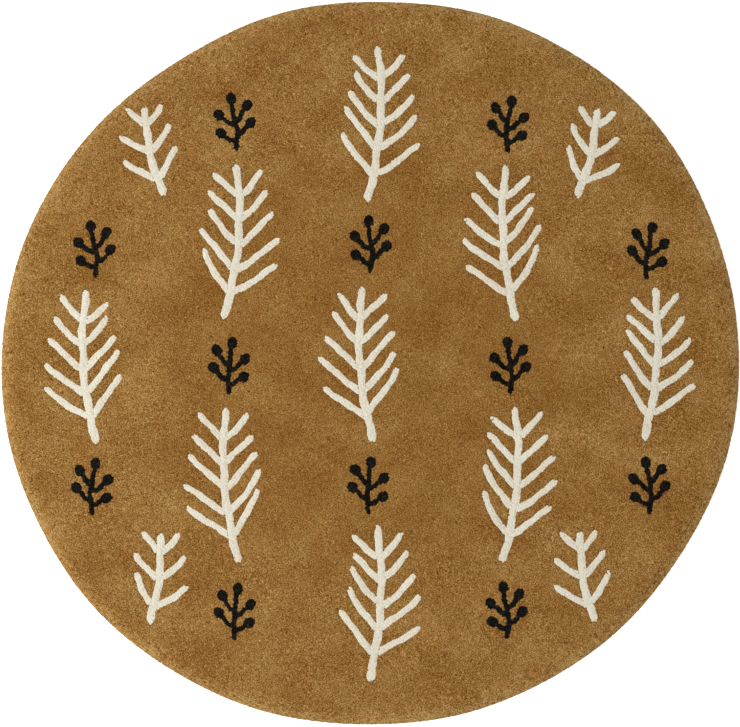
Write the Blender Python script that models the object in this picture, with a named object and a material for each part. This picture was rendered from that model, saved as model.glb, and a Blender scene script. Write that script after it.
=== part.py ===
"""A round tufted kids' rug, lying flat: one thick piece of cut wool pile on its backing.

Metres, +Z up. The origin is on the floor, under the middle of the rug's box. +Y points to
the top edge of the design, +X to its right. The rug is one solid: the backing's flat
underside on the floor, an outline that is a little out of round, as a rug cut and sheared
by hand is, and a soft edge where the pile leans out over the backing.
"""

import math

import bmesh
import bpy
import numpy as np

# Driving dimensions, in metres
DIAMETER = 1.200  # the mean, across the widest part of the pile
THICKNESS = 0.016  # floor to the sheared face of the pile
BELLY_HEIGHT = 0.005  # where the outermost pile bulges furthest out
BACKING_SETBACK = 0.003  # how far the backing's cut edge lies inside that bulge
SHOULDER_WIDTH = 0.015  # how far in from the outline the pile reaches its full height
SHOULDER_SQUARENESS = 2.4  # 2 is an ellipse, and more is a squarer shoulder

# The outline's departures from a true circle: waves round the rim, by how many there are,
# how far each moves the edge out and in, and at which angle from +X it first stands out.
OUTLINE_WAVES = (
    # count, height, first crest in degrees
    (2, 0.0076, 22.3),  # slightly oval
    (3, 0.0023, 59.0),
    (4, 0.0009, -32.7),
    (6, 0.0010, -12.0),
    (7, 0.0007, -6.1),
    (9, 0.0005, -12.8),
    (10, 0.0005, -1.5),
    (12, 0.0007, 13.1),
)

# Smoothness of the facets
RIM_STEPS = 144
SHOULDER_STEPS = 7
UNDERCUT_STEPS = 2
SHARP_ANGLE = 40  # degrees between two faces, above which the edge is shaded sharp

# Finish
WOOL_COLOUR = (0.290, 0.135, 0.035, 1.0)  # ochre wool, linear
WOOL_ROUGHNESS = 0.95


def outline_radius(angle):
    """How far the widest part of the pile stands from the middle, at an angle from +X."""
    radius = DIAMETER / 2
    for count, height, crest in OUTLINE_WAVES:
        radius += height * math.cos(count * (angle - math.radians(crest)))
    return radius


def edge_profile():
    """(distance in from the outline, height) up the rug's edge, from floor to pile face."""
    points = []
    for i in range(UNDERCUT_STEPS):
        turn = math.pi / 2 * i / UNDERCUT_STEPS
        points.append((BACKING_SETBACK * (1 - math.sin(turn)), BELLY_HEIGHT * (1 - math.cos(turn))))
    for i in range(SHOULDER_STEPS + 1):
        turn = math.pi / 2 * i / SHOULDER_STEPS
        across = math.cos(turn) ** (2 / SHOULDER_SQUARENESS)
        up = math.sin(turn) ** (2 / SHOULDER_SQUARENESS)
        height = BELLY_HEIGHT + (THICKNESS - BELLY_HEIGHT) * up
        points.append((SHOULDER_WIDTH * (1 - across), height))
    return points


def rim_points():
    """The outline's points as unit directions and radii, moved so that its box is centred."""
    angles = [2 * math.pi * i / RIM_STEPS for i in range(RIM_STEPS)]
    outline = np.array([(math.cos(a), math.sin(a)) for a in angles])
    outline *= np.array([outline_radius(a) for a in angles])[:, None]
    outline -= (outline.max(axis=0) + outline.min(axis=0)) / 2
    radii = np.linalg.norm(outline, axis=1)
    return outline / radii[:, None], radii


def add_ring(mesh, directions, radii, height):
    """One closed loop of corners round the rug, at one height."""
    return [mesh.verts.new((*(d * r), height)) for d, r in zip(directions, radii)]


def join_rings(mesh, first, second):
    """The band of faces between two loops."""
    for i in range(len(first)):
        mesh.faces.new((first[i - 1], first[i], second[i], second[i - 1]))


def wool_material():
    material = bpy.data.materials.new("ochre_wool")
    material.use_nodes = True
    shader = material.node_tree.nodes["Principled BSDF"]
    shader.inputs["Base Color"].default_value = WOOL_COLOUR
    shader.inputs["Roughness"].default_value = WOOL_ROUGHNESS
    shader.inputs["Metallic"].default_value = 0.0
    return material


def build_rug():
    """The rug's one solid: its loops up the edge, joined, with a flat face at each end."""
    directions, radii = rim_points()
    profile = edge_profile()
    mesh = bmesh.new()
    loops = [add_ring(mesh, directions, radii - inset, height) for inset, height in profile]
    for lower, upper in zip(loops, loops[1:]):
        join_rings(mesh, lower, upper)
    mesh.faces.new(loops[0])
    mesh.faces.new(loops[-1])
    bmesh.ops.recalc_face_normals(mesh, faces=mesh.faces)
    data = bpy.data.meshes.new("rug")
    mesh.to_mesh(data)
    mesh.free()
    data.shade_smooth()
    data.set_sharp_from_angle(angle=math.radians(SHARP_ANGLE))
    rug = bpy.data.objects.new("rug", data)
    rug.data.materials.append(wool_material())
    bpy.context.scene.collection.objects.link(rug)
    return rug


def main():
    for thing in list(bpy.data.objects):
        bpy.data.objects.remove(thing)
    build_rug()


main()
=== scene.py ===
"""A round, hand-tufted kids' rug, lying flat: ochre cut wool with a pattern of cream leaf
sprigs and black berry twigs, on a cotton backing. Metres, +Z up, the design's top at +Y."""

import math

import bpy
import numpy as np
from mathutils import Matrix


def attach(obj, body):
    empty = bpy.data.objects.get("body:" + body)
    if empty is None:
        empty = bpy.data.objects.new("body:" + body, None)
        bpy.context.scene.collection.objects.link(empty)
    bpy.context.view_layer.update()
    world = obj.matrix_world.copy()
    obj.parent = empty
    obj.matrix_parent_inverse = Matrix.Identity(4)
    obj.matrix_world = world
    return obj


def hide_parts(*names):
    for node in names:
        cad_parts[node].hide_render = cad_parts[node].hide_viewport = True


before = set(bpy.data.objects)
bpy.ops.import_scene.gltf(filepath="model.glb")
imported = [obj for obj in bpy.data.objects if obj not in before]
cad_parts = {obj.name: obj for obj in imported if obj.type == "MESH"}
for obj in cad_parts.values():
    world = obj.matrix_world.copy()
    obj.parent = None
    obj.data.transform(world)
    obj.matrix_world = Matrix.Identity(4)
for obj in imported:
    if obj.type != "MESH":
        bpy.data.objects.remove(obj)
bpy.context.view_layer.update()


# ---------------------------------------------------------------------------------------
# The backing cloth. A heavy plain-weave cotton, glued to the rug's underside and cut round
# just inside the pile, so it shows only from below and as a thin line under the edge.

RUG_DIAMETER = 1.200  # the mean, across the widest part of the pile
OUTLINE_WAVES = (
    # count, height, first crest in degrees
    (2, 0.0076, 22.3),
    (3, 0.0023, 59.0),
    (4, 0.0009, -32.7),
    (6, 0.0010, -12.0),
    (7, 0.0007, -6.1),
    (9, 0.0005, -12.8),
    (10, 0.0005, -1.5),
    (12, 0.0007, 13.1),
)
RIM_STEPS = 360
BACKING_SETBACK = 0.003  # how far its cut edge lies inside the widest part of the pile
BACKING_THICKNESS = 0.0022
BACKING_ROUNDING = 0.0006  # of its cut edge
THREAD_PITCH = 0.0018
THREAD_WAVER = 0.0022  # how far the threads wander from straight


def rim_outline(steps):
    """Points round the widest part of the pile, with the outline's box centred."""
    angles = np.linspace(0, 2 * np.pi, steps, endpoint=False)
    radius = np.full(steps, RUG_DIAMETER / 2)
    for count, height, crest in OUTLINE_WAVES:
        radius += height * np.cos(count * (angles - math.radians(crest)))
    points = np.stack((radius * np.cos(angles), radius * np.sin(angles)), axis=1)
    return points - (points.max(axis=0) + points.min(axis=0)) / 2


def stacked_rings(name, rings):
    """A closed round piece through rings given as (distance in from the outline, height)."""
    rim = rim_outline(RIM_STEPS)
    reach = np.linalg.norm(rim, axis=1)[:, None]
    corners, faces = [], []
    for inset, height in rings:
        corners += [(x, y, height) for x, y in rim * (1 - inset / reach)]
    for k in range(len(rings) - 1):
        for i in range(RIM_STEPS):
            j = (i + 1) % RIM_STEPS
            low, high = k * RIM_STEPS, (k + 1) * RIM_STEPS
            faces.append((low + i, low + j, high + j, high + i))
    for start, height, turn in ((0, rings[0][1], -1), (len(corners) - RIM_STEPS, rings[-1][1], 1)):
        middle = len(corners)
        corners.append((0, 0, height))
        for i in range(RIM_STEPS):
            j = (i + 1) % RIM_STEPS
            faces.append((start + i, start + j, middle)[::turn])
    mesh = bpy.data.meshes.new(name)
    mesh.from_pydata(corners, [], faces)
    piece = bpy.data.objects.new(name, mesh)
    bpy.context.scene.collection.objects.link(piece)
    return piece


def new_material(name, roughness):
    """A material, its shader, and a function that adds a node with its values and wires."""
    material = bpy.data.materials.new(name)
    material.use_nodes = True
    nodes, links = material.node_tree.nodes, material.node_tree.links
    shader = nodes["Principled BSDF"]
    shader.inputs["Roughness"].default_value = roughness

    def add(kind, values=None, settings=None, wires=None):
        node = nodes.new("ShaderNode" + kind)
        for key, value in (settings or {}).items():
            setattr(node, key, value)
        for key, value in (values or {}).items():
            node.inputs[key].default_value = value
        for key, source in (wires or {}).items():
            links.new(source, node.inputs[key])
        return node

    return material, shader, add, links


backing = stacked_rings(
    "backing_cloth",
    (
        # distance in from the outline, height
        (BACKING_SETBACK + BACKING_ROUNDING, 0.0),
        (BACKING_SETBACK, BACKING_ROUNDING),
        (BACKING_SETBACK, BACKING_THICKNESS - BACKING_ROUNDING),
        (BACKING_SETBACK + BACKING_ROUNDING, BACKING_THICKNESS),
    ),
)
cotton, shader, add, links = new_material("backing_cotton", 0.9)
place = add("TexCoord").outputs["Object"]
waver = add("TexNoise", {"Scale": 45, "Detail": 2}, None, {"Vector": place}).outputs["Color"]
laid = add("VectorMath", {1: (THREAD_WAVER, THREAD_WAVER, 0)}, {"operation": "MULTIPLY_ADD"},
           {0: waver, 2: place}).outputs[0]
# a wave texture repeats every pi / 10 of its scale
threads = []
for direction in ("X", "Y"):
    threads.append(add("TexWave", {"Scale": math.pi / 10 / THREAD_PITCH},
                       {"bands_direction": direction}, {"Vector": laid}).outputs["Fac"])
over = add("TexChecker", {"Scale": 1 / THREAD_PITCH}, None, {"Vector": laid}).outputs["Fac"]
weave = add("MixRGB", None, None, {"Fac": over, "Color1": threads[0], "Color2": threads[1]})
weave = weave.outputs["Color"]
slub = add("TexNoise", {"Scale": 60, "Detail": 4}, None, {"Vector": place}).outputs["Fac"]
shade = add("ValToRGB", None, None, {"Fac": slub})
shade.color_ramp.elements[0].color = (0.50, 0.43, 0.32, 1)
shade.color_ramp.elements[1].color = (0.66, 0.59, 0.47, 1)
# the colour is lighter on the threads and darker between them, as painted light and shade of the
# weave
painted_weave_shade = add("MapRange", {"To Min": 0.55, "To Max": 1.08}, None, {"Value": weave})
cloth = add("MixRGB", {"Fac": 1.0}, {"blend_type": "MULTIPLY"},
            {"Color1": shade.outputs["Color"], "Color2": painted_weave_shade.outputs["Result"]})
relief = add("Bump", {"Strength": 0.7, "Distance": 0.0006}, None, {"Height": weave})
links.new(cloth.outputs["Color"], shader.inputs["Base Color"])
links.new(relief.outputs["Normal"], shader.inputs["Normal"])
backing.data.materials.append(cotton)
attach(backing, "root")
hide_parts("rug")


# ---------------------------------------------------------------------------------------
# The roots of the pile: the lower part of the wool, modelled as one solid, which the cut tips stand
# on.
# It fills the rug between its backing and the foot of the tips, and hardly shows.

PILE_TOP = 0.016  # floor to the sheared face
PACKED_DEPTH = 0.0024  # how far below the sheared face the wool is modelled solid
roots = stacked_rings(
    "pile_roots",
    (
        # distance in from the outline, height
        (0.0046, BACKING_THICKNESS),
        (0.0038, 0.0050),
        (0.0052, 0.0080),
        (0.0085, 0.0105),
        (0.0125, 0.0124),
        (0.0165, PILE_TOP - PACKED_DEPTH),
    ),
)
deep_wool, shader, add, links = new_material("deep_wool", 0.95)
place = add("TexCoord").outputs["Object"]
tangle = add("TexNoise", {"Scale": 700, "Detail": 3}, None, {"Vector": place}).outputs["Fac"]
shade = add("ValToRGB", None, None, {"Fac": tangle})
shade.color_ramp.elements[0].color = (0.150, 0.058, 0.007, 1)
shade.color_ramp.elements[1].color = (0.230, 0.100, 0.018, 1)
relief = add("Bump", {"Strength": 0.8, "Distance": 0.001}, None, {"Height": tangle})
links.new(shade.outputs["Color"], shader.inputs["Base Color"])
links.new(relief.outputs["Normal"], shader.inputs["Normal"])
roots.data.materials.append(deep_wool)
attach(roots, "root")
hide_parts("rug")


# ---------------------------------------------------------------------------------------
# The cream yarn: upright leaf sprigs, charted in staggered rows. Each is a stem with
# pairs of leaf strokes, tufted as rows of cut cream wool before the ground is filled. The
# strokes are drawn freehand with the tufting gun, so their width is never quite even.

LINE_GAP = 0.0036  # from one tuft to the next in the drawn strokes
STEM_WIDTH, LEAF_WIDTH = 0.0114, 0.0098
SPRIGS = (
    # x, y, height, tilt in degrees, bend, pairs of leaves, leaf length
    (0.004, 0.390, 0.250, -4, 0.20, 5, 0.086),
    (-0.003, -0.002, 0.250, 4, -0.22, 5, 0.087),
    (0.005, -0.392, 0.250, -3, 0.20, 5, 0.086),
    (-0.229, 0.198, 0.250, -5, 0.22, 5, 0.087),
    (-0.225, -0.200, 0.250, 5, -0.20, 5, 0.086),
    (0.230, 0.196, 0.250, 4, -0.20, 5, 0.087),
    (0.226, -0.199, 0.250, -5, 0.22, 5, 0.086),
    (-0.455, -0.006, 0.246, 4, -0.22, 5, 0.083),
    (0.456, -0.002, 0.246, -4, 0.20, 5, 0.083),
    (-0.352, 0.346, 0.146, 12, -0.20, 3, 0.064),
    (0.354, 0.343, 0.146, -13, 0.20, 3, 0.064),
    (-0.352, -0.352, 0.146, -7, 0.20, 3, 0.064),
    (0.355, -0.349, 0.146, 9, -0.20, 3, 0.064),
)
STEM_POINTS, LEAF_STEPS = 17, 8
FIRST_LEAF, LAST_LEAF = 0.17, 0.80  # as shares of the stem
LONGEST_LEAF, LEAF_SHRINK = 0.33, 0.75  # above this share of the stem, how fast they shorten
LEAF_ANGLE, LEAF_CURL = 53, 15  # degrees from the stem, and how far it turns back to it
# how much the leaves differ: in level and length as shares, in angle and curl in degrees
LEVEL_UNEVEN, LENGTH_UNEVEN, ANGLE_UNEVEN, CURL_UNEVEN = 0.010, 0.05, 3, 5
STEM_STRETCH = 0.02  # the share of the stem that gives its direction at a leaf

chance = np.random.default_rng(11)


def sprig_lines(x, y, height, tilt, bend, pairs, leaf):
    """A stem that rises from its foot, and its leaf strokes, as (line of points, width)."""
    cosine, sine = math.cos(math.radians(tilt)), math.sin(math.radians(tilt))

    def on_stem(share):
        side, up = bend * height * (0.25 - (share - 0.5) ** 2), (share - 0.5) * height
        return np.array((x + side * cosine - up * sine, y + side * sine + up * cosine))

    stem = [on_stem(share) for share in np.linspace(0, 1, STEM_POINTS)]
    lines = [(np.array(stem), STEM_WIDTH)]
    for level in np.linspace(FIRST_LEAF, LAST_LEAF, pairs):
        for side in (-1, 1):
            share = level + chance.uniform(-LEVEL_UNEVEN, LEVEL_UNEVEN)
            ahead = on_stem(share + STEM_STRETCH) - on_stem(share)
            length = leaf * (1 - LEAF_SHRINK * max(0, share - LONGEST_LEAF))
            length *= chance.uniform(1 - LENGTH_UNEVEN, 1 + LENGTH_UNEVEN)
            spread = math.radians(LEAF_ANGLE + chance.uniform(-ANGLE_UNEVEN, ANGLE_UNEVEN))
            start = math.atan2(ahead[1], ahead[0]) - side * spread
            curl = side * math.radians(LEAF_CURL + chance.uniform(-CURL_UNEVEN, CURL_UNEVEN))
            line, step = [on_stem(share)], length / LEAF_STEPS
            for k in range(1, LEAF_STEPS + 1):
                angle = start + curl * k / LEAF_STEPS
                line.append(line[-1] + step * np.array((math.cos(angle), math.sin(angle))))
            lines.append((np.array(line), LEAF_WIDTH))
    return lines


ROWS_TO_A_GAP = 1.20  # rows side by side in each LINE_GAP of a stroke's width
# as shares of LINE_GAP
ROW_START, ROW_STAGGER = 0.15, 0.45  # where a row starts, and how much later every other one
STITCH, STITCH_UNEVEN = 0.90, 0.05  # from tuft to tuft in a row, and how far out of line
CLOSEST_IN_STROKE = 0.68  # a tuft nearer than this to an earlier one is left out
# as shares of the stroke's width
WIDER_START, TAPER = 0.07, 0.20  # how much wider it starts, and how much it then narrows
ROUND_END = 0.60  # over what length it ends round
# slow waves along the stroke, as (height, radians to a metre)
SWELLS = ((0.11, 115), (0.06, 270))  # of its width, as shares of it
SWAYS = ((0.0011, 75), (0.0004, 200))  # to its side, in metres


def tuft_rows(line, width):
    """Tufts in side-by-side rows along a line, as (x, y, whether in an outer row).

    The rows close up at both ends, so that a stroke ends round."""
    steps = np.linalg.norm(np.diff(line, axis=0), axis=1)
    along = np.concatenate(([0], np.cumsum(steps)))
    count = max(2, round(width / LINE_GAP * ROWS_TO_A_GAP))
    phases = chance.uniform(0, 2 * np.pi, 4)
    tufts = []
    for k in range(count):
        at = np.arange(LINE_GAP * (ROW_START + ROW_STAGGER * (k % 2)), along[-1], LINE_GAP * STITCH)
        x, y = np.interp(at, along, line[:, 0]), np.interp(at, along, line[:, 1])
        ahead, behind = at + LINE_GAP, at - LINE_GAP
        dx = np.interp(ahead, along, line[:, 0]) - np.interp(behind, along, line[:, 0])
        dy = np.interp(ahead, along, line[:, 1]) - np.interp(behind, along, line[:, 1])
        size = np.hypot(dx, dy)
        swell, sway = np.ones(len(at)), np.zeros(len(at))
        for (height, pitch), phase in zip(SWELLS, phases[:2]):
            swell += height * np.sin(at * pitch + phase)
        for (height, pitch), phase in zip(SWAYS, phases[2:]):
            sway += height * np.sin(at * pitch + phase)
        swell += WIDER_START - TAPER * at / along[-1]
        from_end = np.clip(np.minimum(at, along[-1] - at) / (width * ROUND_END), 0, 1)
        swell *= np.sqrt(1 - (1 - from_end) ** 2)
        aside = (k - (count - 1) / 2) * width / count * swell + sway
        aside += chance.uniform(-STITCH_UNEVEN, STITCH_UNEVEN, len(at)) * LINE_GAP
        tufts.append(np.column_stack((x - dy / size * aside, y + dx / size * aside,
                                      np.full(len(at), k in (0, count - 1)))))
    return np.concatenate(tufts)


CELLS_IN_ROW = 65536  # room for more cells in a row than the rug is ever cut into


def near_pairs(points, reach):
    """Every pair of points within reach of each other, as two arrays of places in the list."""
    cell = np.floor(points / reach).astype(np.int64)
    cell -= cell.min(axis=0)
    code = cell[:, 0] * CELLS_IN_ROW + cell[:, 1]
    order = np.argsort(code, kind="stable")
    ranked = code[order]
    first, second = [], []
    for shift in (0, 1, CELLS_IN_ROW - 1, CELLS_IN_ROW, CELLS_IN_ROW + 1):
        low = np.searchsorted(ranked, code + shift, "left")
        high = np.searchsorted(ranked, code + shift, "right")
        for k in range(int((high - low).max())):
            here = np.flatnonzero(low + k < high)
            there = order[low[here] + k]
            keep = (there != here) if shift else (there > here)
            keep[keep] = np.linalg.norm(points[here[keep]] - points[there[keep]], axis=1) < reach
            first.append(here[keep])
            second.append(there[keep])
    return np.concatenate(first), np.concatenate(second)


def thin_out(tufts, gap):
    """Drops each tuft that stands closer than gap to one that comes before it."""
    first, second = near_pairs(tufts[:, :2], gap)
    clashes = [[] for _ in tufts]
    for earlier, later in zip(np.minimum(first, second), np.maximum(first, second)):
        clashes[later].append(earlier)
    kept = np.zeros(len(tufts), bool)
    for k, before in enumerate(clashes):
        kept[k] = not any(kept[earlier] for earlier in before)
    return tufts[kept]


CROWDED = 1.02  # tufts closer than this share of the gap push each other apart
PUSH = 0.30  # the share of what is missing that each moves in a round


def settle(points, held, gap, rounds):
    """Moves crowded points apart, but for those that are held, in so many rounds."""
    reach = gap * CROWDED
    for _ in range(rounds):
        first, second = near_pairs(points, reach)
        apart = points[first] - points[second]
        distance = np.linalg.norm(apart, axis=1) + 1e-9
        push = apart * (PUSH * (reach - distance) / distance)[:, None]
        move = np.empty_like(points)
        for axis in (0, 1):
            move[:, axis] = np.bincount(first, push[:, axis], len(points))
            move[:, axis] -= np.bincount(second, push[:, axis], len(points))
        move[held] = 0
        points = points + move
    return points


DRIFT_WAVES = 28
DRIFT_LENGTHS = (1.3, 3.6)  # of the waves, as shares of a patch's size
DRIFT_PEAK = 1.6  # how high the crests are, against the field's usual height


def drift(points, size, salt):
    """A smooth field that wanders between about -1 and 1, in patches of the given size."""
    waves = np.random.default_rng(salt)
    total = np.zeros(len(points))
    for _ in range(DRIFT_WAVES):
        angle, length = waves.uniform(0, 2 * np.pi), size * waves.uniform(*DRIFT_LENGTHS)
        phase = waves.uniform(0, 2 * np.pi)
        total += np.cos(2 * np.pi / length * (points @ (math.cos(angle), math.sin(angle))) + phase)
    return total / math.sqrt(DRIFT_WAVES / 2) / DRIFT_PEAK


FEET = 3  # corners at the foot of a tuft
TIP_DEPTH = 0.0036  # how much of each tuft is modelled
FLOOR_CLEARANCE = 0.0003
CORNER_DROP = 0.00035  # how far the corners of a cut tip may fall below its middle
CORNER_TURN = 1.1  # how far they may stand off even places, in radians over the number of sides
SMALLEST, LARGEST = 0.88, 1.12  # how much the tufts' corners differ in reach
LEVEL_WAY = (0.36, 0.93, 0.0)  # a level direction, to count each tuft's turn from
TIP_ROUNDING = 0.55  # how round a cut tip is shaded, as the slope at its rim
FOOT_ROUNDING = 3.0  # the same down at its foot, where the yarn's side shows
PAINTED_FOOT_SHADE = 0.35  # painted shade: how much darker and richer the colour is made down between the tufts
TIP_ON_MAP, FOOT_ON_MAP = 0.40, 0.50  # how far out they lie on the map, as shares of the gap
MAP_MARGIN = 0.001


def pile(name, places, tips, along, tone, material, gap, sides, tip_size, foot_size):
    """Cut tufts, as one piece: short tapered posts of so many sides, that end at the tips.

    places are where they stand on the cloth laid flat, and along is the way each points."""
    count = len(tips)
    at_tip = np.arange(sides + FEET) < sides
    across = np.cross(along, LEVEL_WAY)
    across /= np.linalg.norm(across, axis=1)[:, None]
    other = np.cross(along, across)
    edges = np.arange(sides)
    foot_of = edges * FEET // sides
    foot_turn = np.array([np.mean(edges[foot_of == foot]) + 0.5 for foot in range(FEET)])
    steps = np.concatenate((edges, foot_turn)) * 2 * np.pi / sides
    turn = chance.uniform(0, 2 * np.pi, (count, 1)) + steps
    turn[:, :sides] += chance.uniform(-CORNER_TURN, CORNER_TURN, (count, sides)) / sides
    size = chance.uniform(SMALLEST, LARGEST, (count, sides + FEET)) * gap
    size *= np.where(at_tip, tip_size, foot_size)
    spread = np.cos(turn)[..., None] * across[:, None] + np.sin(turn)[..., None] * other[:, None]
    drop = chance.uniform(0, CORNER_DROP, (count, sides + FEET))
    drop[:, sides:] = TIP_DEPTH
    corners = tips[:, None] + spread * size[..., None] - along[:, None] * drop[..., None]
    corners = corners.reshape(-1, 3)
    corners[:, 2] = np.maximum(corners[:, 2], FLOOR_CLEARANCE)
    walls = []
    for k in range(sides):
        after, foot, next_foot = (k + 1) % sides, foot_of[k], foot_of[(k + 1) % sides]
        walls += [k, sides + foot, after]
        if foot != next_foot:
            walls += [sides + foot, sides + next_foot, after]
    underside = [sides + foot for foot in range(FEET)][::-1]
    pattern = np.array(walls + underside + list(range(sides)))
    corner_of = (np.arange(count)[:, None] * (sides + FEET) + pattern).reshape(-1)
    starts = np.arange(0, len(walls) + len(underside) + 1, 3)
    mesh = bpy.data.meshes.new(name)
    mesh.vertices.add(len(corners))
    mesh.vertices.foreach_set("co", corners.astype(np.float32).reshape(-1))
    mesh.loops.add(len(corner_of))
    mesh.loops.foreach_set("vertex_index", corner_of.astype(np.int32))
    mesh.polygons.add(count * len(starts))
    loop_starts = (np.arange(count)[:, None] * len(pattern) + starts).reshape(-1)
    mesh.polygons.foreach_set("loop_start", loop_starts.astype(np.int32))
    mesh.update(calc_edges=True)
    # the tufts' feet get a lower tone, as painted shade down between the tufts
    tones_with_painted_shade = tone[:, None] - np.where(at_tip, 0, PAINTED_FOOT_SHADE)
    mesh.attributes.new("tone", "FLOAT", "POINT").data.foreach_set(
        "value", tones_with_painted_shade.astype(np.float32).reshape(-1))
    # the map is the cloth laid flat: each tuft's tip, with its walls in a narrow ring round it
    compass = np.stack((np.cos(turn), np.sin(turn)), axis=2) * gap
    compass *= np.where(at_tip, TIP_ON_MAP, FOOT_ON_MAP)[:, None]
    flat = (places[:, None] + compass).reshape(-1, 2)
    low, high = flat.min(axis=0) - MAP_MARGIN, flat.max(axis=0) + MAP_MARGIN
    flat = ((flat - low) / (high - low))[corner_of]
    mesh.uv_layers.new(name="OFBake").data.foreach_set("uv", flat.astype(np.float32).reshape(-1))
    mesh.shade_smooth()
    slope = np.where(at_tip, TIP_ROUNDING, FOOT_ROUNDING)[:, None]
    normals = (along[:, None] + spread * slope).reshape(-1, 3)
    normals /= np.linalg.norm(normals, axis=1)[:, None]
    mesh.normals_split_custom_set_from_vertices(normals.astype(np.float32))
    mesh.materials.append(material)
    piece = bpy.data.objects.new(name, mesh)
    bpy.context.scene.collection.objects.link(piece)
    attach(piece, "root")
    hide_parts("rug")
    return piece


LEAN = 0.06  # how far tufts lean at random, as a slope
LEAN_ALL = (0.05, -0.03)  # how far the whole pile leans
LEAN_PATCHES, LEAN_PATCH_SIZE = 0.06, 0.06
SHEARING = 0.00018  # how unevenly the shears leave the tips
SHEARING_PATCHES, SHEARING_PATCH_SIZE = 0.00025, 0.05
GROOVE_DEPTH = 0.0005  # where two yarns meet


def level_tips(places, lowered):
    """The tips and ways of upright tufts, under the shears, in the level part of the rug."""
    count = len(places)
    lean = chance.normal(0, LEAN, (count, 2)) + LEAN_ALL
    lean += LEAN_PATCHES * np.column_stack((drift(places, LEAN_PATCH_SIZE, 1),
                                            drift(places, LEAN_PATCH_SIZE, 2)))
    along = np.column_stack((lean, np.ones(count)))
    along /= np.linalg.norm(along, axis=1)[:, None]
    height = PILE_TOP + chance.normal(0, SHEARING, count)
    height += SHEARING_PATCHES * drift(places, SHEARING_PATCH_SIZE, 3)
    return np.column_stack((places, height - GROOVE_DEPTH * lowered)), along


DYE_TINTS = ((0.955, 0.895, 0.845), (1.045, 1.105, 1.155))  # of the dye's richer and paler patches
DYE_PATCHES = 26.0  # to a metre
PLIES, MOTTLE, FIBRES = 620.0, 640.0, 2200.0  # to a metre
PLY_RELIEF = 0.6  # how deep the plies are against the fibres
EVENER_WITHIN, COARSER_PAST, COARSER = 0.27, 0.39, 1.22  # radii, and the mottle past them
TONE_ROOM = 0.5  # how far the colours go on past a tone of 0 and of 1


def wool(name, dark, middle, light, uneven, patchy):
    """Matt cut wool, whose tufts differ a little in colour, with ply ends and fibres.

    dark, middle and light are its colours at a tone of 0, 0.5 and 1. uneven is how far the
    fine mottle moves the tone, and patchy how strongly the dye's patches tint the colour."""
    material, shader, add, links = new_material(name, 0.92)
    place = add("TexCoord").outputs["Object"]
    # the tone attribute carries each tuft's own tone, with painted shade at the tufts' feet and, in
    # the ochre, painted light at the rounded edge
    tone = add("Attribute", None, {"attribute_name": "tone"}).outputs["Fac"]
    plies = add("TexVoronoi", {"Scale": PLIES}, {"feature": "F1"}, {"Vector": place})
    mottle = add("TexNoise", {"Scale": MOTTLE, "Detail": 2}, None, {"Vector": place}).outputs["Fac"]
    fibres = add("TexNoise", {"Scale": FIBRES, "Detail": 2}, None, {"Vector": place}).outputs["Fac"]
    height = add("Math", {1: -PLY_RELIEF}, {"operation": "MULTIPLY_ADD"},
                 {0: plies.outputs["Distance"], 2: fibres}).outputs[0]
    spread = add("MapRange", {"From Min": 0.3, "From Max": 0.7, "To Min": -uneven, "To Max": uneven},
                 None, {"Value": mottle})
    from_middle = add("VectorMath", None, {"operation": "LENGTH"}, {0: place}).outputs["Value"]
    coarser = add("MapRange", {"From Min": EVENER_WITHIN, "From Max": COARSER_PAST,
                               "To Min": 1.0, "To Max": COARSER}, None, {"Value": from_middle})
    mixed = add("Math", None, {"operation": "MULTIPLY_ADD"},
                {0: spread.outputs["Result"], 1: coarser.outputs["Result"], 2: tone})
    whole = add("MapRange", {"From Min": -TONE_ROOM, "From Max": 1 + TONE_ROOM},
                None, {"Value": mixed.outputs[0]})
    shade = add("ValToRGB", None, None, {"Fac": whole.outputs["Result"]})
    low, mid, high = np.array(dark), np.array(middle), np.array(light)
    # the ramp's own two ends are darker than dark and lighter than light
    shade.color_ramp.elements[0].color = (*(low * np.sqrt(low / mid)), 1)
    shade.color_ramp.elements[1].color = (*(1.5 * high - 0.5 * mid), 1)
    for at, colour in ((0, low), (0.5, mid), (1, high)):
        stop = shade.color_ramp.elements.new((at + TONE_ROOM) / (1 + 2 * TONE_ROOM))
        stop.color = (*colour, 1)
    patches = add("TexNoise", {"Scale": DYE_PATCHES, "Detail": 4, "Roughness": 0.6},
                  None, {"Vector": place})
    tint = add("ValToRGB", None, None, {"Fac": patches.outputs["Fac"]})
    for stop, at, colour in zip(tint.color_ramp.elements, (0.34, 0.66), DYE_TINTS):
        stop.position, stop.color = at, (*colour, 1)
    dyed = add("MixRGB", {"Fac": patchy}, {"blend_type": "MULTIPLY"},
               {"Color1": shade.outputs["Color"], "Color2": tint.outputs["Color"]})
    rough = add("MapRange", {"To Min": 0.85, "To Max": 1.0}, None, {"Value": fibres})
    relief = add("Bump", {"Strength": 0.45, "Distance": 0.0006}, None, {"Height": height})
    links.new(dyed.outputs["Color"], shader.inputs["Base Color"])
    links.new(rough.outputs["Result"], shader.inputs["Roughness"])
    links.new(relief.outputs["Normal"], shader.inputs["Normal"])
    shader.inputs["Specular IOR Level"].default_value = 0.08
    return material


SETTLING_ROUNDS = 8
OUTER_ROW_LOWERED = 0.5  # how much of the groove where two yarns meet is in the drawn yarn
LINE_SIDES, LINE_TIP, LINE_FOOT = 6, 0.70, 1.00  # of its tufts: the sizes are shares of the gap
CREAM_SPECKLE, CREAM_PATCHES, CREAM_PATCH_SIZE = 0.08, 0.08, 0.04  # how the tufts' tones differ

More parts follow.
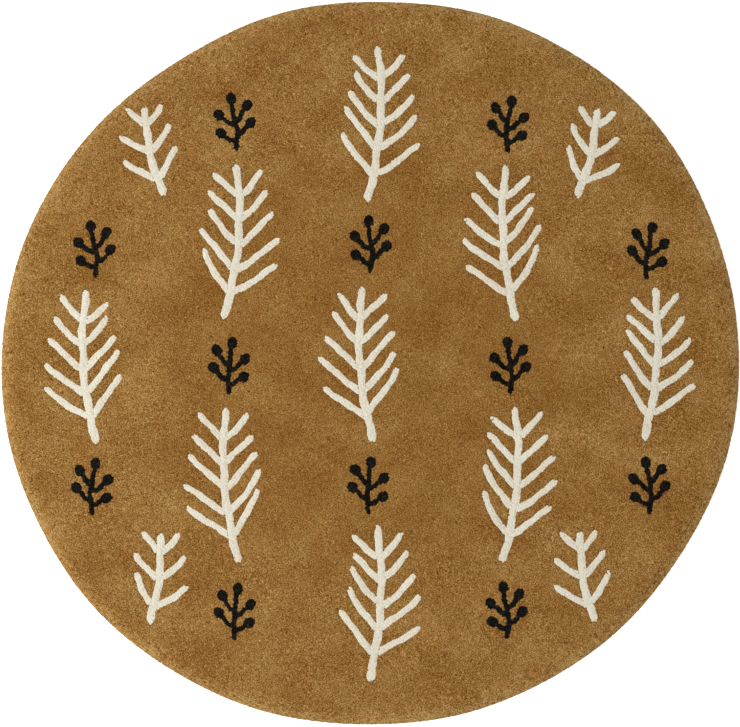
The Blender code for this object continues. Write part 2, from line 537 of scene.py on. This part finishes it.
cream_wool = wool("cream_wool", dark=(0.52, 0.47, 0.37), middle=(0.595, 0.555, 0.447),
                  light=(0.67, 0.64, 0.53), uneven=0.06, patchy=0.4)
strokes = [stroke for sprig in SPRIGS for stroke in sprig_lines(*sprig)]
cream = np.concatenate([tuft_rows(*stroke) for stroke in strokes])
cream = thin_out(cream, LINE_GAP * CLOSEST_IN_STROKE)
cream_places = settle(cream[:, :2], cream[:, 2] > 0, LINE_GAP, SETTLING_ROUNDS)
tips, along = level_tips(cream_places, cream[:, 2] * OUTER_ROW_LOWERED)
tone = 0.5 + chance.normal(0, CREAM_SPECKLE, len(cream))
tone += CREAM_PATCHES * drift(cream_places, CREAM_PATCH_SIZE, 4)
pile_cream = pile("pile_cream", cream_places, tips, along, tone, cream_wool,
                  LINE_GAP, LINE_SIDES, LINE_TIP, LINE_FOOT)


# ---------------------------------------------------------------------------------------
# The black yarn: a small twig with five berries between one sprig and the next, tufted in
# the same way in black wool. The berries are ovals, filled in rows from the edge inwards.

STALK_WIDTH = 0.0074
TWIGS = (
    # x, y, tilt in degrees, 1 or -1 for the side the lowest berry is on
    (0.000, 0.196, 4, 1),
    (-0.002, -0.198, -5, -1),
    (-0.229, -0.003, -6, -1),
    (0.228, -0.002, 5, 1),
    (-0.222, 0.396, 8, 1),
    (0.226, 0.392, -8, -1),
    (-0.220, -0.404, -7, -1),
    (0.222, -0.402, 7, 1),
    (-0.451, 0.188, 9, 1),
    (0.455, 0.186, -9, -1),
    (-0.453, -0.200, -7, -1),
    (0.455, -0.198, 8, 1),
)
TWIG_STALKS = (
    # points of each stalk, in the twig's own place
    ((-0.0045, -0.047), (0.0020, -0.020), (0.000, 0.028)),
    ((0.0015, -0.002), (0.0100, 0.0045), (0.0190, 0.016)),
    ((0.0015, -0.010), (-0.0090, -0.004), (-0.0180, 0.007)),
    ((0.0015, -0.025), (0.0115, -0.021), (0.0200, -0.012)),
    ((-0.0010, -0.033), (-0.0110, -0.030), (-0.0185, -0.022)),
)
BERRIES = (
    # x, y, angle of its long way in degrees
    (0.0000, 0.0360, 88),
    (0.0240, 0.0215, 52),
    (-0.0235, 0.0125, 126),
    (0.0260, -0.0070, 42),
    (-0.0245, -0.0175, 137),
)
BERRY_HALF = (0.0090, 0.0074)  # half its length and half its width
BERRY_ROWS = (0.84, 0.42, 0.0)  # as shares of those
BERRY_CLOSER = 1.15  # how much closer the tufts of its rows stand
BLACK_SPECKLE = 0.15


def berry_tufts(middle, angle):
    """Tufts in oval rows from a berry's edge to its middle, as (x, y, whether outer)."""
    tufts = []
    cosine, sine = math.cos(angle), math.sin(angle)
    for k, share in enumerate(BERRY_ROWS):
        length, width = BERRY_HALF[0] * share, BERRY_HALF[1] * share
        count = max(1, round(math.pi * (length + width) / LINE_GAP * BERRY_CLOSER))
        turn = np.linspace(0, 2 * np.pi, count, endpoint=False) + k
        x, y = length * np.cos(turn), width * np.sin(turn)
        tufts.append(np.column_stack((middle[0] + x * cosine - y * sine,
                                      middle[1] + x * sine + y * cosine,
                                      np.full(count, k == 0))))
    return np.concatenate(tufts)


black = []
for x, y, tilt, side in TWIGS:
    cosine, sine = math.cos(math.radians(tilt)), math.sin(math.radians(tilt))
    turn = np.array(((cosine, sine), (-sine, cosine)))
    for px, py, angle in BERRIES:
        middle = np.array((px * side, py)) @ turn + (x, y)
        angle = angle if side > 0 else 180 - angle
        black.append(berry_tufts(middle, math.radians(angle + tilt)))
    for stalk in TWIG_STALKS:
        line = np.array([(px * side, py) for px, py in stalk]) @ turn + (x, y)
        black.append(tuft_rows(line, STALK_WIDTH))
black = thin_out(np.concatenate(black), LINE_GAP * CLOSEST_IN_STROKE)
black_places = settle(black[:, :2], black[:, 2] > 0, LINE_GAP, SETTLING_ROUNDS)
black_wool = wool("black_wool", dark=(0.0008, 0.0007, 0.0004), middle=(0.0023, 0.0021, 0.0012),
                  light=(0.0175, 0.0160, 0.0128), uneven=0.55, patchy=1.0)
tips, along = level_tips(black_places, black[:, 2] * OUTER_ROW_LOWERED)
tone = 0.5 + chance.normal(0, BLACK_SPECKLE, len(black))
pile_black = pile("pile_black", black_places, tips, along, tone, black_wool,
                  LINE_GAP, LINE_SIDES, LINE_TIP, LINE_FOOT)


# ---------------------------------------------------------------------------------------
# The ochre ground: one row of tufts round the edge, then the whole field filled in round
# the cream and the black, in ochre wool. The tufts stand upright, and lean out over the
# edge, where the pile rounds over and opens.

TUFT_GAP = 0.0042  # from one tuft to the next
BELLY_HEIGHT = 0.005  # where the outermost pile bulges furthest out
SHOULDER_WIDTH = 0.032  # how far in from the outline the pile reaches its full height
SHOULDER_SQUARENESS = 2.0  # 2 is an ellipse, and more is a squarer shoulder
BELLY_STEPS, SHOULDER_STEPS = 12, 60
LOWEST_TUFT = 0.0020  # the lowest tuft tips at the edge, above the floor
EDGE_ROOT_INSET = 0.0075  # where the outermost tufts come out of the cloth
EDGE_ROOT_HEIGHT = 0.0030


def edge_profile():
    """(distance in, height, distance along) from the lowest tufts to the level face."""
    points = []
    for turn in np.linspace(math.acos(1 - LOWEST_TUFT / BELLY_HEIGHT), math.pi / 2, BELLY_STEPS)[:-1]:
        points.append((BACKING_SETBACK * (1 - math.sin(turn)), BELLY_HEIGHT * (1 - math.cos(turn))))
    for turn in np.linspace(0, math.pi / 2, SHOULDER_STEPS):
        across = math.cos(turn) ** (2 / SHOULDER_SQUARENESS)
        up = math.sin(turn) ** (2 / SHOULDER_SQUARENESS)
        points.append((SHOULDER_WIDTH * (1 - across), BELLY_HEIGHT + (PILE_TOP - BELLY_HEIGHT) * up))
    points = np.array(points)
    along = np.concatenate(([0], np.cumsum(np.linalg.norm(np.diff(points, axis=0), axis=1))))
    return points[:, 0], points[:, 1], along


profile_in, profile_up, profile_along = edge_profile()
EDGE_LENGTH = profile_along[-1]
EDGE_SPREAD = EDGE_LENGTH - SHOULDER_WIDTH  # how far the edge reaches out when laid flat
rim = rim_outline(4 * RIM_STEPS)
rim = rim[np.argsort(np.arctan2(rim[:, 1], rim[:, 0]))]
rim_angle, rim_reach = np.arctan2(rim[:, 1], rim[:, 0]), np.linalg.norm(rim, axis=1)


def outline_reach(points):
    """The outline's distance from the middle, in each point's direction."""
    angle = np.arctan2(points[:, 1], points[:, 0])
    return np.interp(angle, rim_angle, rim_reach, period=2 * np.pi)


def from_edge(points):
    """How far in along the surface each place is from the lowest tufts, laid flat."""
    return outline_reach(points) + EDGE_SPREAD - np.linalg.norm(points, axis=1)


# the row round the edge
EDGE_ROW = 0.88  # its width, as a share of TUFT_GAP
EDGE_ROW_IN = 0.3  # how far in its tufts stand, as a share of its width
EDGE_UNEVEN = 0.16  # how far its tufts are out of line, as a share of TUFT_GAP
row_out = EDGE_SPREAD - EDGE_ROW_IN * TUFT_GAP * EDGE_ROW
count = round(2 * np.pi * (RUG_DIAMETER / 2 + row_out) / TUFT_GAP)
turn = np.linspace(0, 2 * np.pi, count, endpoint=False)
edge_places = np.column_stack((np.cos(turn), np.sin(turn)))
edge_places *= (outline_reach(edge_places) + row_out)[:, None]
edge_places += chance.uniform(-EDGE_UNEVEN, EDGE_UNEVEN, edge_places.shape) * TUFT_GAP

# the field: one tuft at random in each square of a slanting grid, then moved apart a little
GRID_SLANT = math.radians(27)
TUFTS_PER_SQUARE_METRE = 66700
GRID_HALF = 0.75  # half the grid's side, as a share of the rug's diameter
FIELD_FROM = 0.8  # where the field starts, as a share of the edge row
half, step = RUG_DIAMETER * GRID_HALF, TUFTS_PER_SQUARE_METRE ** -0.5
squares = np.arange(-half, half, step)
ground = np.stack(np.meshgrid(squares, squares), axis=2).reshape(-1, 2)
ground += chance.uniform(-0.5, 0.5, ground.shape) * step
slant = np.array(((math.cos(GRID_SLANT), math.sin(GRID_SLANT)),
                  (-math.sin(GRID_SLANT), math.cos(GRID_SLANT))))
ground = ground @ slant
ground = ground[from_edge(ground) > FIELD_FROM * TUFT_GAP * EDGE_ROW]


def clear_of(points, taken, gap):
    """Which of the points stand no closer than gap to any of those taken."""
    first, second = near_pairs(np.concatenate((taken, points)), gap)
    mixed = (first < len(taken)) != (second < len(taken))
    clear = np.ones(len(points), bool)
    clear[np.maximum(first[mixed], second[mixed]) - len(taken)] = False
    return clear


# tufts too close to a drawn stroke or the edge go, and the gaps that they leave are filled
CLOSEST = TUFT_GAP * 0.80
TRIES = 8  # new places tried for each
FIELD_ROUNDS = 6
MEETING = 1.35  # tufts nearer than this share of the gap to the drawn yarn stand in its groove
taken = np.concatenate((cream_places, black_places, edge_places))
clear = clear_of(ground, taken, CLOSEST)
fill = np.repeat(ground[~clear], TRIES, axis=0)
fill += chance.uniform(-1, 1, fill.shape) * TUFT_GAP
fill = fill[clear_of(fill, np.concatenate((taken, ground[clear])), CLOSEST)]
ground = np.concatenate((ground[clear], thin_out(fill, CLOSEST)))
held = np.arange(len(taken) + len(ground)) < len(taken)
places = settle(np.concatenate((taken, ground)), held, TUFT_GAP, FIELD_ROUNDS)
charted = len(cream_places) + len(black_places)
first, second = near_pairs(places, TUFT_GAP * MEETING)
meets_other = np.zeros(len(places))
meets_other[np.maximum(first, second)[np.minimum(first, second) < charted]] = 1
places, meets_other = places[charted:], meets_other[charted:]

# the flat places are folded over the edge: where each tip comes, and the way the tuft points
UNEVEN_AT_EDGE, UNEVEN_INWARDS = 0.3, 1.2  # the shears' unevenness, least and how fast it grows
LEAN_AT_EDGE = 0.4  # how much of the tufts' random lean the lowest ones have
edge = from_edge(places)
share = np.clip(edge / EDGE_LENGTH, 0, 1)  # 0 at the lowest tufts, 1 on the level face
radius, reach = np.linalg.norm(places, axis=1), outline_reach(places)
out = places / np.maximum(radius, 1e-6)[:, None]
tips, along = level_tips(places, meets_other)
rise = (tips[:, 2] - PILE_TOP) * np.clip(share * UNEVEN_INWARDS, UNEVEN_AT_EDGE, 1)
root_inset = EDGE_ROOT_INSET + (SHOULDER_WIDTH - EDGE_ROOT_INSET) * share
tip_inset = np.interp(edge, profile_along, profile_in)
outward = np.where(share < 1, root_inset - tip_inset, 0)
upward = np.interp(edge, profile_along, profile_up) - EDGE_ROOT_HEIGHT
way = np.column_stack((out * outward[:, None], upward))
way /= np.linalg.norm(way, axis=1)[:, None]
way[:, :2] += along[:, :2] * (LEAN_AT_EDGE + (1 - LEAN_AT_EDGE) * share)[:, None]
way /= np.linalg.norm(way, axis=1)[:, None]
tips[:, :2] = np.where(share < 1, reach - tip_inset, radius)[:, None] * out
tips[:, 2] = upward + EDGE_ROOT_HEIGHT
tips += way * rise[:, None]

# the wool takes the dye a little unevenly, and the outer field is made a little lighter; at the
# rounded edge the pile is painted lighter, as painted light, with a faint painted shade just inside
# it
OUTER_FROM, OUTER_OVER = 0.45, 0.20  # where the outer part sets in, as shares of the radius
OPENED_FROM = 0.25  # up to this share of the edge, the pile is wide open
SPECKLE, OUTER_SPECKLE, OPENED_SPECKLE = 0.050, 0.026, 0.130  # from tuft to tuft
PALE_TUFTS, OUTER_PALE_TUFTS = 0.030, 0.020  # how much a few tufts stand out
PATCHES, OUTER_PATCHES, PATCH_SIZE = 0.080, 0.015, 0.055
SMALL_PATCHES, SMALL_PATCH_SIZE = 0.015, 0.014
# the outer field is made a little lighter than the middle
OUTER_LIGHTER = 0.07
PAINTED_EDGE_LIGHT = (
    # distance in from the outline, how much lighter the pile is painted there: painted light at the
    # rounded edge, and painted shade where below 0
    (0.003, 0.43),
    (0.010, 0.28),
    (0.015, 0.14),
    (0.020, 0.06),
    (0.025, 0.03),
    (0.030, -0.01),
    (0.060, -0.02),
    (0.090, 0.00),
)
outer = np.clip((radius / reach - OUTER_FROM) / OUTER_OVER, 0, 1)
opened = np.clip(1 - (share - OPENED_FROM) / (1 - OPENED_FROM), 0, 1)
speckle = SPECKLE + OUTER_SPECKLE * outer + OPENED_SPECKLE * opened
tone = 0.5 + speckle * chance.normal(0, 1, len(places))
tone += (PALE_TUFTS + OUTER_PALE_TUFTS * outer) * (chance.exponential(1, len(places)) - 1)
tone += ((PATCHES + OUTER_PATCHES * outer) * drift(places, PATCH_SIZE, 5)
         + SMALL_PATCHES * drift(places, SMALL_PATCH_SIZE, 6))
tone += OUTER_LIGHTER * outer
# painted light on the rounded edge, and a faint painted shade just inside it
tone += np.interp(np.where(share < 1, tip_inset, reach - radius), *zip(*PAINTED_EDGE_LIGHT))
ochre_wool = wool("ochre_wool", dark=(0.116, 0.036, 0.001), middle=(0.215, 0.0987, 0.0182),
                  light=(0.364, 0.214, 0.070), uneven=0.55, patchy=1.0)

GROUND_PARTS = 5
GROUND_SIDES, GROUND_TIP, GROUND_FOOT = 5, 0.66, 0.98  # of its tufts, as for the drawn yarn
for k, band in enumerate(np.array_split(np.argsort(places[:, 1]), GROUND_PARTS)):
    pile(f"pile_ochre_{k + 1}", places[band], tips[band], way[band], tone[band],
                       ochre_wool, TUFT_GAP, GROUND_SIDES, GROUND_TIP, GROUND_FOOT)


# ---------------------------------------------------------------------------------------
# The floor, the light and the camera. The floor is white and glows a little, so that it has
# no shadow but right at the rug. A large soft light stands to the left, and the camera looks
# straight down.

FLOOR_SIZE = 12
FLOOR_DROP = 0.0002  # how far the floor lies below the backing
bpy.ops.mesh.primitive_plane_add(size=FLOOR_SIZE)
floor = bpy.context.object
floor.name = "floor"
floor.location.z = -FLOOR_DROP
paper, shader, add, links = new_material("floor_white", 0.9)
shader.inputs["Base Color"].default_value = (0.98, 0.98, 0.98, 1)
shader.inputs["Emission Color"].default_value = (1, 1, 1, 1)
shader.inputs["Emission Strength"].default_value = 0.36
floor.data.materials.append(paper)

world = bpy.data.worlds.new("studio")
bpy.context.scene.world = world
world.use_nodes = True
world.node_tree.nodes["Background"].inputs["Color"].default_value = (1, 1, 1, 1)
world.node_tree.nodes["Background"].inputs["Strength"].default_value = 0.84

lamp = bpy.data.lights.new("softbox", "AREA")
lamp.energy = 106
lamp.size = 2.8
softbox = bpy.data.objects.new("softbox", lamp)
softbox.location = (-2.45, -0.45, 2.62)
softbox.rotation_euler = (math.radians(7), math.radians(-43), 0)
softbox.visible_camera = False
bpy.context.scene.collection.objects.link(softbox)

LENS, SENSOR = 70, 36  # mm
FRAME_WIDTH = 1.2110  # metres across the picture, at a height of SHARP_HEIGHT
SHARP_HEIGHT = 0.010
PICTURE_MIDDLE = (-0.0004, -0.0006)
lens = bpy.data.cameras.new("camera")
lens.lens, lens.sensor_width = LENS, SENSOR
camera = bpy.data.objects.new("camera", lens)
camera.location = (*PICTURE_MIDDLE, SHARP_HEIGHT + FRAME_WIDTH * LENS / SENSOR)
bpy.context.scene.collection.objects.link(camera)
bpy.context.scene.camera = camera
bpy.context.scene.view_settings.view_transform = "Standard"
